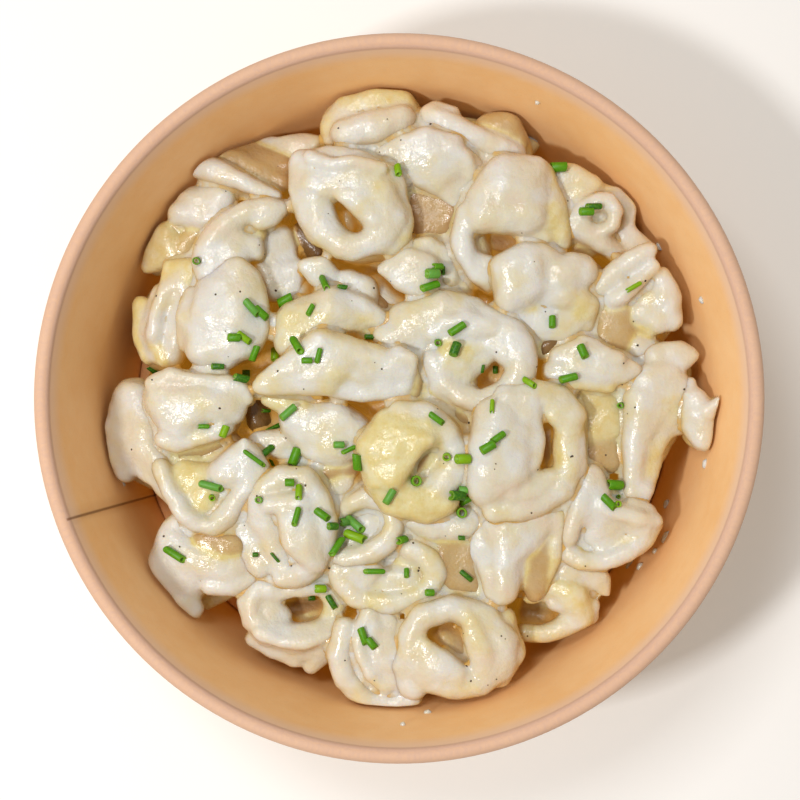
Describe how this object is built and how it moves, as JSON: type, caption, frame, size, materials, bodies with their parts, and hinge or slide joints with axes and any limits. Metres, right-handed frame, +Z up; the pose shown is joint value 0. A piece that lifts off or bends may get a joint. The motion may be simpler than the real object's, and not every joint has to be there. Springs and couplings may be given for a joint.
{
  "type": "tortellini",
  "caption": "Heap of filled tortellini in cream sauce with cut chives, in a round brown paper bowl.",
  "frame": {"origin": "on the table, under the middle of the bowl's foot", "axes": "+Z up through the middle of the bowl, +Y towards the top of a picture taken from straight above, +X to its right"},
  "size_m": [0.1502, 0.1502, 0.0598],
  "materials": {
    "kraft_paper": "matte brown paperboard",
    "pasta_in_sauce": "wet pale yellow egg pasta coated in cream sauce",
    "cream_sauce": "wet off-white cream sauce",
    "chive": "fresh green cut chive tubes",
    "pepper": "ground black pepper specks"
  },
  "bodies": {
    "root": {"bowl_wall": "kraft_paper", "bowl_base": "kraft_paper", "tortellini_heap": "pasta_in_sauce"}
  },
  "joints": []
}
